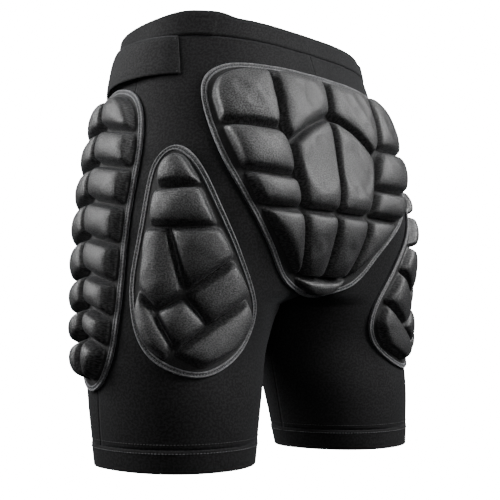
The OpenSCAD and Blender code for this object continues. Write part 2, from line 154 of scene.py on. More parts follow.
def survey():
    """Tables of the body surface: points, outward normals, and the two arc lengths by height."""
    xs, ys = outlines(HEIGHTS)
    places = np.arange(-REACH, REACH + 1, dtype=float)
    points = np.zeros((len(HEIGHTS), len(places), 3))
    fronts, backs = np.zeros(len(HEIGHTS)), np.zeros(len(HEIGHTS))
    for i, z in enumerate(HEIGHTS):
        marks = lengths_along(np.stack([xs[i], ys[i]], -1))
        marks -= marks[2 * ARC_STEPS]
        low, high = marks[0], marks[-1]
        fronts[i], backs[i] = -low, high
        if z <= CROTCH:
            s = np.where(places > high, low + places - high, places)
            s = np.where(places < low, high + places - low, s)
            sign = np.ones(len(places))
        else:
            s = np.where(places > high, 2 * high - places, places)
            s = np.where(places < low, 2 * low - places, s)
            sign = np.where((places > high) | (places < low), -1.0, 1.0)
        points[i, :, 0] = np.interp(s, marks, xs[i]) * sign
        points[i, :, 1] = np.interp(s, marks, ys[i])
        points[i, :, 2] = z
    round_it, up = np.zeros_like(points), np.zeros_like(points)
    round_it[:, PROBE:-PROBE] = points[:, 2 * PROBE:] - points[:, :-2 * PROBE]
    up[PROBE:-PROBE] = points[2 * PROBE:] - points[:-2 * PROBE]
    normals = np.cross(round_it, up)
    normals[:PROBE], normals[-PROBE:] = normals[PROBE], normals[-PROBE - 1]
    normals[:, :PROBE], normals[:, -PROBE:] = normals[:, PROBE:PROBE + 1], normals[:, -PROBE - 1:-PROBE]
    return points, unit(normals), fronts, backs


POINTS, NORMALS, FRONTS, BACKS = survey()


def front_length(z):
    return np.interp(z, HEIGHTS, FRONTS)


def back_length(z):
    return np.interp(z, HEIGHTS, BACKS)


def read(table, row, column):
    """A table's values between its rows and columns."""
    a = np.clip(row, 0, table.shape[0] - 1.001)
    b = np.clip(column, 0, table.shape[1] - 1.001)
    i, j = a.astype(int), b.astype(int)
    fa, fb = (a - i)[..., None], (b - j)[..., None]
    return (
        table[i, j] * (1 - fa) * (1 - fb) + table[i + 1, j] * fa * (1 - fb)
        + table[i, j + 1] * (1 - fa) * fb + table[i + 1, j + 1] * fa * fb
    )


def side_base(s, z):
    """Surface points and normals at side places."""
    s, z = np.broadcast_arrays(np.asarray(s, float), np.asarray(z, float))
    return read(POINTS, z - LOWEST, s + REACH), read(NORMALS, z - LOWEST, s + REACH)


def seat_base(u, z):
    """Surface points and normals at seat places, the same on both sides of the back seam."""
    u, z = np.broadcast_arrays(np.asarray(u, float), np.asarray(z, float))
    reach = CLEFT_BRIDGE * (1 - ease((z - CROTCH) / LOBE_BLEND))
    points, normals = side_base(back_length(z) - np.maximum(np.abs(u), reach), z)
    share = np.clip(u / np.maximum(reach, 1e-6), -1, 1)
    points[..., 0] *= share
    normals[..., 0] *= share
    return points, normals


def lift(base, a, z, offset):
    """Points at an offset off the surface, at flat places."""
    return raise_off(*base(a, z), offset)


def raise_off(points, normals, offset):
    """Points moved along their normals and into the shared frame, in millimetres."""
    moved = points + unit(normals) * np.asarray(offset, float)[..., None]
    moved[..., 1] += CENTRE_SHIFT
    return moved


# ---------- meshes ----------


def grid_faces(rows, columns, first=0, flip=False, wrap=False):
    """Quads of a grid of points, numbered row by row."""
    i, j = np.meshgrid(np.arange(rows - 1), np.arange(columns if wrap else columns - 1), indexing="ij")
    n = (j + 1) % columns
    quads = np.stack([i * columns + j, i * columns + n, (i + 1) * columns + n, (i + 1) * columns + j], -1)
    quads = quads.reshape(-1, 4) + first
    return quads[:, ::-1] if flip else quads


def make_piece(name, points, faces, flat, material, values=None, mirror=False):
    """A smooth mesh object from points in millimetres; flat gives each point's cloth place."""
    points = np.array(points, float).reshape(-1, 3)
    if isinstance(faces, np.ndarray):
        faces = faces.tolist()
    if mirror:
        points[:, 0] *= -1
        faces = [face[::-1] for face in faces]
    mesh = bpy.data.meshes.new(name)
    mesh.from_pydata((points * MM).tolist(), [], faces)
    mesh.polygons.foreach_set("use_smooth", [True] * len(mesh.polygons))
    flat = np.asarray(flat, float).reshape(-1, 2) * MM
    corners = np.zeros(len(mesh.loops), np.int32)
    mesh.loops.foreach_get("vertex_index", corners)
    layer = mesh.uv_layers.new(name="cloth")
    layer.data.foreach_set("uv", flat[corners].ravel())
    if values is not None:
        puff = mesh.attributes.new("puff", "FLOAT", "POINT")
        puff.data.foreach_set("value", np.asarray(values, float).ravel())
    mesh.materials.append(material)
    mesh.update()
    piece = bpy.data.objects.new(name, mesh)
    bpy.context.scene.collection.objects.link(piece)
    return piece


def both_sides(name):
    """Names and mirror flags of a left and a right piece."""
    return [(f"{name}_left", False), (f"{name}_right", True)]


def closed_sheet(outer, inner, flat):
    """Points, faces and cloth places of a sheet with two faces and a rim."""
    rows, columns = outer.shape[:2]
    count = rows * columns
    points = np.concatenate([outer.reshape(-1, 3), inner.reshape(-1, 3)])
    edge = np.concatenate([
        np.arange(columns - 1),
        np.arange(rows - 1) * columns + columns - 1,
        (rows - 1) * columns + np.arange(columns - 1, 0, -1),
        np.arange(rows - 1, 0, -1) * columns,
    ])
    ahead = np.roll(edge, -1)
    rim = np.stack([edge, edge + count, ahead + count, ahead], -1)
    faces = np.concatenate([grid_faces(rows, columns), grid_faces(rows, columns, count, flip=True), rim])
    return points, faces, np.concatenate([flat.reshape(-1, 2)] * 2)


def laid_sheet(s, z, top, under):
    """A closed sheet at side places, between two offsets off the surface."""
    points, normals = side_base(s, z)
    outer, inner = raise_off(points, normals, top), raise_off(points, normals, under)
    return closed_sheet(outer, inner, np.stack([s, z], -1))


def swept_ring(loops, flats):
    """Closed ring through a list of loops; the last loop joins the first."""
    sides, stations = len(loops), len(loops[0])
    faces = grid_faces(sides + 1, stations, wrap=True) % (sides * stations)
    return np.concatenate(loops), faces, np.concatenate(flats)


def finish_piece(piece, body, slot, *nodes):
    """Says which body a piece rides on and hides the CAD nodes it stands for; its material slot is not
    used.
    """
    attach(piece, body)
    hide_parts(*nodes)


# ---------- materials ----------

# Scale of every cloth's cloudy patches, the change of its roughness with its tone, and its sheen
PATCH_SCALE = 18.0
ROUGHNESS_SPREAD = 0.16
SHEEN_TINT = (0.9, 0.93, 1.0, 1.0)
KNIT_DARK = (0.0026, 0.0026, 0.0028)
KNIT_LIGHT = (0.0105, 0.0105, 0.011)
STRAP_LIGHT = (0.011, 0.011, 0.0115)
COVER_DARK = (0.0004, 0.0004, 0.0005)
COVER_LIGHT = (0.042, 0.042, 0.043)
# painted shade: the dark colour of the pad covers' grooves and flanges, where the cells' walls cast shade
GROOVE_PAINTED_SHADE = (0.004, 0.004, 0.0042)
GROOVE_ROUGHER = 0.4
# painted shade in the binding's sewn valley and down the flanks of its ridges
VALLEY_PAINTED_SHADE = (0.006, 0.006, 0.0065)


def set_inputs(made, **settings):
    """Sets a node's inputs by name, or its own properties where no input fits."""
    for key, value in settings.items():
        socket = next((s for s in made.inputs if s.name.replace(" ", "_").lower() == key), None)
        if socket is not None:
            socket.default_value = value
        else:
            setattr(made, key, value)


def node(tree, kind, **settings):
    made = tree.nodes.new(kind)
    set_inputs(made, **settings)
    return made


def mix_colour(tree, factor, low, high):
    """Colour that goes from low to high by a factor socket."""
    mixed = node(tree, "ShaderNodeMix", data_type="RGBA")
    tree.links.new(factor, mixed.inputs[0])
    for socket, value in ((mixed.inputs[6], low), (mixed.inputs[7], high)):
        if hasattr(value, "is_linked"):
            tree.links.new(value, socket)
        else:
            socket.default_value = (*value, 1.0)
    return mixed.outputs[2]


def math_node(tree, operation, *values, clamp=False):
    """The result of a sum or product of sockets and numbers."""
    made = node(tree, "ShaderNodeMath", operation=operation, use_clamp=clamp)
    for socket, value in zip(made.inputs, values):
        if hasattr(value, "is_linked"):
            tree.links.new(value, socket)
        else:
            socket.default_value = value
    return made.outputs[0]


def ramp(tree, factor, low, high):
    """A factor stretched so that low gives 0 and high gives 1."""
    made = node(tree, "ShaderNodeMapRange", from_min=low, from_max=high, to_min=0.0, to_max=1.0)
    tree.links.new(factor, made.inputs[0])
    return made.outputs[0]


def noise(tree, cloth, scale, detail, roughness):
    """Noise over the cloth's flat places, in metres."""
    made = node(tree, "ShaderNodeTexNoise", scale=scale, detail=detail, roughness=roughness)
    tree.links.new(cloth, made.inputs["Vector"])
    return made.outputs[0]


def threads(tree, cloth, direction, pitch, bend=0.0):
    """Parallel threads along the cloth, pitch millimetres apart."""
    made = node(
        tree, "ShaderNodeTexWave", wave_type="BANDS", bands_direction=direction,
        scale=2 * math.pi / 20 / (pitch * MM), distortion=bend, detail=1.0,
    )
    tree.links.new(cloth, made.inputs["Vector"])
    return made.outputs[1]


def fabric(name, dark, light, roughness, sheen, pattern, relief,
           specular=0.5, contrast=0.5, grain=430.0):
    """A cloth material.

    pattern(tree, cloth) returns the weave's height and relief is in millimetres. Contrast is the
    share of the colour's change that comes from the yarn's specks, of the size that grain sets.
    """
    material = bpy.data.materials.new(name)
    material.use_nodes = True
    tree = material.node_tree
    shader = tree.nodes["Principled BSDF"]
    cloth = node(tree, "ShaderNodeUVMap", uv_map="cloth").outputs[0]
    weave = pattern(tree, cloth)
    fleck = noise(tree, cloth, grain, 2.0, 0.6)
    patch = noise(tree, cloth, PATCH_SCALE, 3.0, 0.6)
    mottle = math_node(tree, "ADD", ramp(tree, patch, 0.3, 0.8), weave)
    mottle = math_node(tree, "MULTIPLY", mottle, 0.5 * (1 - contrast))
    speck = math_node(tree, "MULTIPLY", ramp(tree, fleck, 0.45, 0.56), contrast)
    tone = math_node(tree, "ADD", mottle, speck, clamp=True)
    tree.links.new(mix_colour(tree, tone, dark, light), shader.inputs["Base Color"])
    rough = math_node(tree, "MULTIPLY_ADD", tone, -ROUGHNESS_SPREAD, roughness + 0.07)
    tree.links.new(rough, shader.inputs["Roughness"])
    set_inputs(shader, specular_ior_level=specular, sheen_weight=sheen, sheen_roughness=0.4,
               sheen_tint=SHEEN_TINT)
    nap = math_node(tree, "MULTIPLY_ADD", fleck, 0.8, weave)
    bump = node(tree, "ShaderNodeBump", strength=1.0, distance=relief * MM)
    tree.links.new(nap, bump.inputs["Height"])
    tree.links.new(bump.outputs[0], shader.inputs["Normal"])
    return material


def woven(pitch, depth=1.0):
    """Crossing threads, pitch millimetres apart."""
    def pattern(tree, cloth):
        warp = threads(tree, cloth, "X", pitch, 0.4)
        weft = threads(tree, cloth, "Y", pitch, 0.4)
        return math_node(tree, "MULTIPLY", math_node(tree, "MULTIPLY", warp, weft), depth)
    return pattern


def knitted(pitch):
    """Wales of stitches with slanting courses."""
    def pattern(tree, cloth):
        wales = threads(tree, cloth, "X", pitch, 0.8)
        courses = threads(tree, cloth, "DIAGONAL", pitch * 0.7, 1.2)
        return math_node(tree, "MULTIPLY", wales, courses)
    return pattern


def ribbed(pitch):
    """Parallel ribs."""
    def pattern(tree, cloth):
        return threads(tree, cloth, "X", pitch, 0.3)
    return pattern


def shade_low(material, colour, low=0.0, high=1.0):
    """Gives a material a painted shade colour where its pieces' puff is low; returns its node tree and
    factor.
    """
    tree = material.node_tree
    socket = tree.nodes["Principled BSDF"].inputs["Base Color"]
    puff = node(tree, "ShaderNodeAttribute", attribute_name="puff").outputs["Fac"]
    raised = ramp(tree, puff, low, high)
    tree.links.new(mix_colour(tree, raised, colour, socket.links[0].from_socket), socket)
    return tree, raised


def pad_fabric():
    """Pad cover: satin black cloth over the foam, and duller brushed cloth in the grooves and on the
    flange, darkened there with painted shade.
    """
    material = fabric("pad_cover", COVER_DARK, COVER_LIGHT, 0.42, 0.03, woven(0.8, 0.4), 0.36,
                      specular=0.38, contrast=0.9, grain=700.0)
    # painted shade darkens the grooves and the flange, where the cells' puff is low
    tree, raised = shade_low(material, GROOVE_PAINTED_SHADE, 0.03, 0.12)
    socket = tree.nodes["Principled BSDF"].inputs["Roughness"]
    brushed = math_node(tree, "MULTIPLY_ADD", raised, -GROOVE_ROUGHER, GROOVE_ROUGHER)
    rough = math_node(tree, "ADD", socket.links[0].from_socket, brushed, clamp=True)
    tree.links.new(rough, socket)
    return material


def binding_fabric():
    """Rolled binding: grey cloth on its ridges, with painted shade darkening their flanks and the sewn
    valley.
    """
    material = fabric("edge_binding", (0.02, 0.02, 0.021), (0.15, 0.15, 0.155), 0.6, 0.3,
                      ribbed(0.9), 0.14)
    shade_low(material, VALLEY_PAINTED_SHADE)
    return material


KNIT = fabric("knit_shell", KNIT_DARK, KNIT_LIGHT, 0.82, 0.05, knitted(1.1), 0.1, specular=0.12)
BAND = fabric("folded_band", KNIT_DARK, KNIT_LIGHT, 0.82, 0.05, knitted(0.9), 0.1, specular=0.12)
STRAP = fabric("strap_webbing", KNIT_DARK, STRAP_LIGHT, 0.8, 0.06, woven(0.8), 0.1, specular=0.15)
ELASTIC = fabric("elastic", (0.03, 0.03, 0.032), (0.09, 0.09, 0.095), 0.7, 0.2, ribbed(1.6), 0.25)
PATCH = fabric("fastener_patch", (0.004, 0.004, 0.004), (0.02, 0.02, 0.021), 0.85, 0.3,
               woven(1.3), 0.4)
COVER = pad_fabric()
BASE = fabric("pad_base", (0.03, 0.03, 0.032), (0.085, 0.085, 0.088), 0.8, 0.4, woven(1.2), 0.15)
TRIM = binding_fabric()
THREAD = fabric("sewing_thread", (0.03, 0.03, 0.032), (0.12, 0.12, 0.125), 0.5, 0.3,
                ribbed(0.4), 0.05)
DARK_THREAD = fabric("dark_thread", (0.006, 0.006, 0.0065), (0.02, 0.02, 0.021), 0.6, 0.1,
                     ribbed(0.4), 0.05)

# ---------- sewing ----------

# A stitch's sides round its section, the rings along it, and its length
STITCH_SIDES = 6
STITCH_RINGS = 5
STITCH_LENGTH = 2.1


def resample(path, pitch):
    """Even places along a path of flat places."""
    marks = lengths_along(path)
    count = max(2, int(round(marks[-1] / pitch)))
    at = (np.arange(count) + 0.5) * marks[-1] / count
    return np.stack([np.interp(at, marks, path[:, k]) for k in (0, 1)], -1)


def sew(name, base, path, offset, thread, pitch, radius, mirror):
    """A row of small rounded stitches along a flat path, at an offset off the surface."""
    places = resample(np.asarray(path, float), pitch)
    step = np.gradient(places, axis=0)
    step /= np.maximum(np.hypot(*step.T), 1e-9)[:, None]
    centres = lift(base, *places.T, offset)
    along = unit(lift(base, *(places + step).T, offset) - centres)
    up = unit(base(*places.T)[1])
    across = np.cross(up, along)
    turn = np.linspace(0, 2 * math.pi, STITCH_SIDES, endpoint=False)
    reach = np.linspace(-1, 1, STITCH_RINGS)
    girth = np.sqrt(np.maximum(0.06, 1 - reach**4))[:, None]
    rings = (
        (reach[:, None] * STITCH_LENGTH / 2)[None, :, :, None] * along[:, None, None, :]
        + (girth * np.cos(turn))[None, :, :, None] * radius * across[:, None, None, :]
        + (girth * np.sin(turn))[None, :, :, None] * radius * up[:, None, None, :]
    )
    points = (rings + centres[:, None, None, :]).reshape(-1, 3)
    one = grid_faces(STITCH_RINGS, STITCH_SIDES, flip=True, wrap=True)
    first_end = np.arange(STITCH_SIDES)
    ends = np.stack([first_end, first_end[::-1] + (STITCH_RINGS - 1) * STITCH_SIDES])
    starts = (np.arange(len(places)) * STITCH_RINGS * STITCH_SIDES)[:, None, None]
    faces = (one + starts).reshape(-1, 4).tolist() + (ends + starts).reshape(-1, STITCH_SIDES).tolist()
    return make_piece(name, points, faces, points[:, [0, 2]], thread, mirror=mirror)


# ---------- knit shell ----------

KNIT_THICKNESS = 1.8
HEM_HEIGHT = 22.0
BAND_LOW = 425.0
BODY_HEIGHT = 450.0
# The gusset's half width, its reach from the crotch, the half width kept at its tips, and a little
# more than the spacing of the shell's rows
GUSSET_HALF = 28.0
GUSSET_REACH = 58.0
GUSSET_TIP = 0.1
LEVEL_STEP = 3.5
# Offsets of the cloth's outer face from the body surface
SHELL_OFFSET = -0.15
GUSSET_OFFSET = -0.1
# How far the ripples take to die out at the hems and the waistband
RIPPLE_FADE = 12
# How far the left and right pieces pass each other at the centre lines, so that no light shows
CENTRE_LAP = 0.2


def gusset_edge(z):
    """Half width of the diamond gusset, along the surface from the crotch seams."""
    return np.maximum(0, GUSSET_HALF * (1 - (np.abs(z - CROTCH) / GUSSET_REACH) ** 1.5))


def ripple(s, z):
    """Slight unevenness of stretched knit, in millimetres."""
    slow = np.sin(s / 23.0 + 1.3 * np.sin(z / 41.0)) * np.sin(z / 31.0 + 0.6)
    fine = np.sin(s / 9.0 + z / 17.0 + 2.0 * np.sin(z / 29.0))
    crotch = np.exp(-((z - 150.0) / 38.0) ** 2)
    folds = np.sin(z / 6.5 + np.abs(s) / 16.0) * crotch * ease((np.abs(s) - 170) / 60)
    return 0.35 * slow + 0.1 * fine + 0.45 * folds


def shell_levels():
    """Heights of the shell's rows, one of them at the crotch."""
    return np.concatenate([np.linspace(HEM_HEIGHT, CROTCH, 46), np.linspace(CROTCH, BAND_LOW, 90)[1:]])


def knit_quarter(s, z, offset, front, meets):
    """A quarter's closed sheet of knit; the rows named in meets reach the centre line."""
    points, normals = side_base(s, z)
    outer = raise_off(points, normals, offset)
    inner = raise_off(points, normals, offset - KNIT_THICKNESS)
    centre = 0 if front else -1
    for face in (outer, inner):
        face[meets, centre, 0] = -CENTRE_LAP
        face[meets & (z[:, 0] == CROTCH), centre, 1] = INSEAM_Y + CENTRE_SHIFT
    return closed_sheet(outer, inner, np.stack([s, z], -1))


def shell_panel(front):
    """Outer and inner faces of one quarter of the shell."""
    z = shell_levels()
    length = front_length(z) if front else back_length(z)
    inner_edge = length - gusset_edge(z)
    columns = 92
    share = np.linspace(0, 1, columns)[None, :]
    s = -inner_edge[:, None] * (1 - share) if front else inner_edge[:, None] * share
    z = np.broadcast_to(z[:, None], s.shape)
    off_seams = np.minimum(1, np.minimum(share, 1 - share) * 12)
    off_hem = np.minimum(1, (z - HEM_HEIGHT) / RIPPLE_FADE)
    off_band = np.minimum(1, (BAND_LOW - z) / RIPPLE_FADE)
    wave = ripple(s, z) * (off_seams * off_hem) * off_band + SHELL_OFFSET
    return knit_quarter(s, z, wave, front, z[:, 0] >= CROTCH + GUSSET_REACH)


def build_shell():
    """Front and rear panels of the shell."""
    for part, front, flat, area in (
        ("shell_front", True, (0.26, 0.385), 0.088), ("shell_rear", False, (0.29, 0.385), 0.098)
    ):
        points, faces, cloth = shell_panel(front)
        for name, mirror in both_sides(part):
            piece = make_piece(f"{name}_knit", points, faces, cloth, KNIT, mirror=mirror)
            finish_piece(piece, "shorts", "knit_shell", name)


def build_gusset():
    """Diamond panel between the legs, four quarters that meet at the crotch."""
    z = shell_levels()
    z = z[np.abs(z - CROTCH) < GUSSET_REACH + LEVEL_STEP]
    share = np.linspace(0, 1, 14)[None, :]
    points, faces, cloth = [], [], []
    count = 0
    for front in (True, False):
        length = front_length(z) if front else back_length(z)
        inner_edge = length - np.maximum(gusset_edge(z), GUSSET_TIP)
        s = inner_edge[:, None] + (length - inner_edge)[:, None] * share
        if front:
            s = -s[:, ::-1]
        level = np.broadcast_to(z[:, None], s.shape)
        offset = np.full(s.shape, GUSSET_OFFSET)
        quarter, quads, flat = knit_quarter(s, level, offset, front, z >= CROTCH)
        for side in (1, -1):
            points.append(quarter * np.array([side, 1, 1]))
            faces.append((quads if side > 0 else quads[:, ::-1]) + count)
            cloth.append(flat)
            count += len(quarter)
    piece = make_piece("crotch_gusset_knit", np.concatenate(points), np.concatenate(faces),
                       np.concatenate(cloth), KNIT)
    finish_piece(piece, "shorts", "knit_shell", "crotch_gusset")


# ---------- waistband and hems ----------

BAND_WALL = 1.2
BAND_DEPTH = 4.8
BAND_OUTSIDE = 0.3
BAND_COLUMNS = 220
LEG_COLUMNS = 150
# Where the band's ends overlap, behind the left hip, and how far the upper end stands up and out
BAND_JOIN = 76.0
JOIN_RISE = 4.0
JOIN_STEP = 0.8
# The swelling of cloth that stands out of the band behind the right hip
BULGE_PLACE = 34.0
BULGE_REACH = 26.0
BULGE_DEPTH = 7.0
BULGE_FADE = 9
ELASTIC_LOW = 426.0
ELASTIC_HIGH = 447.0
ELASTIC_GAP = 0.4
HEM_OUTSIDE = 0.5
HEM_DEPTH = 3.0
HEM_WALL = 1.1
# Shares of a folded band's height that are straight and rounded
STRAIGHT = 0.93
ROUNDED = 0.07


def waist_loop(z, offset):
    """Points round the waist at one height and offset, and their cloth places."""
    count = BAND_COLUMNS
    share = np.linspace(-1, 1, count)
    s = np.where(share < 0, share * front_length(z), share * back_length(z))
    outward = ease((offset - BAND_OUTSIDE) / BAND_DEPTH + 1)
    near = 1 - ease(np.abs(s - BULGE_PLACE) / BULGE_REACH)
    bulge = BULGE_DEPTH * outward * near * ease((z - BAND_LOW) / BULGE_FADE)
    right = lift(side_base, s, z, offset + bulge)[-2:0:-1] * np.array([-1, 1, 1])
    right[:, 2] = z
    step = JOIN_STEP * ease((s - 20) / 50) * (s < BAND_JOIN)
    left = lift(side_base, s, z, offset + step)
    peak = ease((s - 5) / 45) * (1 - ease((s - BAND_JOIN) / 24))
    left[:, 2] = z + JOIN_RISE * peak * ease((z - 430) / 20)
    left[[0, -1], 0] = 0.0
    marks = np.concatenate([s, s[-1] + np.cumsum(np.full(count - 2, s[1] - s[0]))])
    return np.concatenate([left, right]), np.stack([marks, np.full_like(marks, z)], -1)


def leg_loop(z, offset):
    """Points round the left leg at one height and offset, and their cloth places."""
    share = np.linspace(-1, 1, LEG_COLUMNS, endpoint=False)
    s = np.where(share < 0, share * front_length(z), share * back_length(z))
    loop = lift(side_base, s, z, offset)
    loop[:, 2] = z
    return loop, np.stack([s, np.full_like(s, z)], -1)


def fold_section(outside, depth, low, high, wall, fold_up):
    """Section of a folded band: (offset, height), the fold at its top or bottom."""
    inside = outside - depth
    mouth, tip = (low, high) if fold_up else (high, low)
    sign = 1 if fold_up else -1
    rise = np.linspace(0, 1, 7)[1:]
    inner_tip = tip - sign * wall * 1.6
    section = [(outside, mouth)]
    section += [(outside, mouth + (tip - mouth) * t * STRAIGHT) for t in rise]
    for turn in np.linspace(0, math.pi, 7)[1:-1]:
        fall = sign * abs(tip - mouth) * ROUNDED * (1 - math.sin(turn))
        section.append((outside - depth / 2 + depth / 2 * math.cos(turn), tip - fall))
    section += [(inside, mouth + (tip - mouth) * t * STRAIGHT) for t in rise[::-1]]
    section += [(inside, mouth), (inside + wall, mouth), (inside + wall, inner_tip)]
    section += [(outside - wall, inner_tip), (outside - wall, mouth)]
    return section


def folded_piece(name, section, loop, material, mirror=False):
    """A ring of cloth with a section, swept round the waist or the left leg."""
    loops, flats = zip(*[loop(z, offset) for offset, z in section])
    return make_piece(name, *swept_ring(loops, flats), material, mirror=mirror)


def build_band():
    """Waistband casing, folded at its top, with the elastic inside."""
    section = fold_section(BAND_OUTSIDE, BAND_DEPTH, BAND_LOW, BODY_HEIGHT, BAND_WALL, True)
    band = folded_piece("waistband_casing", section, waist_loop, BAND)
    finish_piece(band, "shorts", "folded_band", "waistband")
    inner = BAND_OUTSIDE - BAND_DEPTH + BAND_WALL + ELASTIC_GAP
    outer = BAND_OUTSIDE - BAND_WALL - ELASTIC_GAP
    corners = [(outer, ELASTIC_LOW), (outer, ELASTIC_HIGH), (inner, ELASTIC_HIGH), (inner, ELASTIC_LOW)]
    elastic = folded_piece("waist_elastic_band", corners, waist_loop, ELASTIC)
    finish_piece(elastic, "shorts", "elastic", "waist_elastic")


def build_hems():
    """Folded hems of both legs."""
    section = fold_section(HEM_OUTSIDE, HEM_DEPTH, 0.0, HEM_HEIGHT, HEM_WALL, False)
    for name, mirror in both_sides("hem"):
        hem = folded_piece(f"{name}_fold", section, leg_loop, BAND, mirror)
        finish_piece(hem, "shorts", "folded_band", name)


# ---------- waist straps ----------

STRAP_HIGH = 424.5
STRAP_LOW = 381.5
STRAP_FREE = -105.0
STRAP_THICKNESS = 2.4
STRAP_EDGE = 0.8
# Where the sewn end starts at the strap's lower edge, and how far it slants to its upper edge
STRAP_SEWN = 54.0
STRAP_SLANT = 13.0
# Radius of the free end's corners, and the strap's length for them
STRAP_ROUNDING = 9.0
STRAP_RUN = 160
# The fastener patches' margin inside the strap's edges and free end, their length, and their thickness
PATCH_MARGIN = 4
PATCH_LENGTH = 38
PATCH_THICKNESS = 1.2


def strap_offset(share):
    """Offset of the strap's inner face, from its sewn end to its free end."""
    bulge = 5.0 * np.sin(np.pi * np.minimum(1, share * 1.15)) ** 2
    return 0.3 + 1.3 * ease(share / 0.08) + bulge + 1.8 * ease((share - 0.35) / 0.3)


def build_straps():
    """Waist straps, laid over the shell from their sewn ends to their free ends."""
    rows, columns = 26, 80
    t = np.linspace(0, 1, rows)[:, None]
    share = np.linspace(1, 0, columns)[None, :]
    end = STRAP_SEWN - STRAP_SLANT * t
    s = end + (STRAP_FREE - end) * share
    corner = np.maximum(0, share - 1 + STRAP_ROUNDING / STRAP_RUN) * STRAP_RUN
    corner = np.minimum(corner, STRAP_ROUNDING)
    pull = STRAP_ROUNDING - np.sqrt(np.maximum(0, STRAP_ROUNDING**2 - corner**2))
    z = STRAP_LOW + (STRAP_HIGH - STRAP_LOW) * t
    z = z + pull * (1 - 2 * t)
    s, z, share = np.broadcast_arrays(s, z, share)
    middle = 1 - (2 * t - 1) ** 4
    thickness = STRAP_EDGE + (STRAP_THICKNESS - STRAP_EDGE) * middle * (0.3 + 0.7 * ease(share / 0.12))
    inner = strap_offset(share)
    sheet = laid_sheet(s, z, inner + thickness, inner)
    for name, mirror in both_sides("waist_strap"):
        strap = make_piece(f"{name}_cloth", *sheet, STRAP, mirror=mirror)
        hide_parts(name)
        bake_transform(strap)


def build_patches():
    """Fastener patches: hooks under the strap's free end, and loops on the shell."""
    z = np.linspace(STRAP_LOW + PATCH_MARGIN, STRAP_HIGH - PATCH_MARGIN, 14)[:, None]
    first = STRAP_FREE + PATCH_MARGIN
    s = np.linspace(first, first + PATCH_LENGTH, 16)[None, :]
    s, z = np.broadcast_arrays(s, z)
    for part, low, on_strap in (("strap_loop", 0.5, False), ("strap_hook", 2.2, True)):
        sheet = laid_sheet(s, z, low + PATCH_THICKNESS, low)
        for name, mirror in both_sides(part):
            patch = make_piece(f"{name}_patch", *sheet, PATCH, mirror=mirror)
            body = f"strap_{name.split('_')[-1]}" if on_strap else "shorts"
            finish_piece(patch, body, "fastener_patch", name)


# ---------- pads ----------

# Spacing of a cover's points, its grooves' offset off the body, and its cells' height over them
GRID = 1.25
FLOOR = 2.3
SEAT_HEIGHT = 15.5
THIGH_HEIGHT = 14.5
HIP_HEIGHT = 16.5
GROOVE_HALF = 2.5
# How far the grid reaches past the outline, and how far inside it the cover ends
COVER_MARGIN = 14
COVER_INSET = 0.9
# Offsets of the backing sheet's two faces, the small hole at its middle, and its rows of points
BACKING_TOP = 1.7
BACKING_UNDER = 0.7
BACKING_HOLE = 0.04
BACKING_ROWS = 22
MEMBRANE_STEPS = 260
# Where a cell's dome starts, and the powers that round its dome and its wall
DOME_START = -1.2
DOME_POWER = 0.6
WALL_POWER = 2.2
# The cover's cloth simulation: its grid, length, cloth, pressure, and how far it may move a point
SIM_STRIDE = 2
SIM_FRAMES = 20
SIM_MASS = 0.15
SIM_BENDING = 1.5
SIM_PRESSURE = 4.0
SIM_LIMIT = 2.5
SEWN_BELOW = 0.08
# How each pad's cells swell: spread over the drawn shape, width of the rounded edge, share of the
# height that is crown, and how far the crown's pull reaches
SEAT_FORM = {"grow": 1.7, "bevel": 5.0, "crown": 0.9, "reach": 18.0}
THIGH_FORM = {"grow": 2.5, "bevel": 5.0, "crown": 0.85, "reach": 14.0}
HIP_FORM = {"grow": 1.4, "bevel": 5.0, "crown": 0.92, "reach": 24.0}


def loop_through(places, steps):
    """Smooth closed curve through a few places."""
    p = np.asarray(places, float)
    t = np.linspace(0, 1, steps, endpoint=False)[None, :, None]
    a, b, c, d = (np.roll(p, shift, axis=0)[:, None] for shift in (1, 0, -1, -2))
    curve_points = 0.5 * (
        2 * b + (c - a) * t + (2 * a - 5 * b + 4 * c - d) * t**2 + (3 * b - a - 3 * c + d) * t**3)
    return curve_points.reshape(-1, 2)


def signed_area(p):
    """Area inside a loop of flat places, positive when it runs counterclockwise."""
    q = np.roll(p, -1, axis=0)
    return float((p[:, 0] * q[:, 1] - p[:, 1] * q[:, 0]).sum() / 2)


def cell_distance(cell, a, z, softness):
    """Smooth distance inside a cell's straight sides, negative outside."""
    corners = np.asarray(cell, float)
    if signed_area(corners) < 0:
        corners = corners[::-1]
    edge = np.roll(corners, -1, axis=0) - corners
    edge /= np.hypot(*edge.T)[:, None]
    sides = [(a - c[0]) * -e[1] + (z - c[1]) * e[0] for c, e in zip(corners, edge)]
    kept = []
    for i in range(len(sides)):
        before, here = edge[i - 1], edge[i]
        hollow = before[0] * here[1] - before[1] * here[0] < 0
        if hollow:
            kept[-1 if i else 0:] = [softness * np.logaddexp(kept[-1] / softness, sides[i] / softness)]
        else:
            kept.append(sides[i])
    stack = np.stack(kept) / -softness
    return -softness * np.logaddexp.reduce(stack, axis=0)


def outline_distance(outline, a, z):
    """Distance inside a closed outline, negative outside."""
    best = np.full(a.shape, 1e9)
    inside = np.zeros(a.shape, bool)
    for p, q in zip(outline, np.roll(outline, -1, axis=0)):
        d = q - p
        t = np.clip(((a - p[0]) * d[0] + (z - p[1]) * d[1]) / (d @ d), 0, 1)
        best = np.minimum(best, (a - p[0] - t * d[0]) ** 2 + (z - p[1] - t * d[1]) ** 2)
        if p[1] != q[1]:
            crosses = (p[1] > z) != (q[1] > z)
            inside ^= crosses & (a < p[0] + (z - p[1]) / (q[1] - p[1]) * d[0])
    return np.sqrt(best) * np.where(inside, 1.0, -1.0)


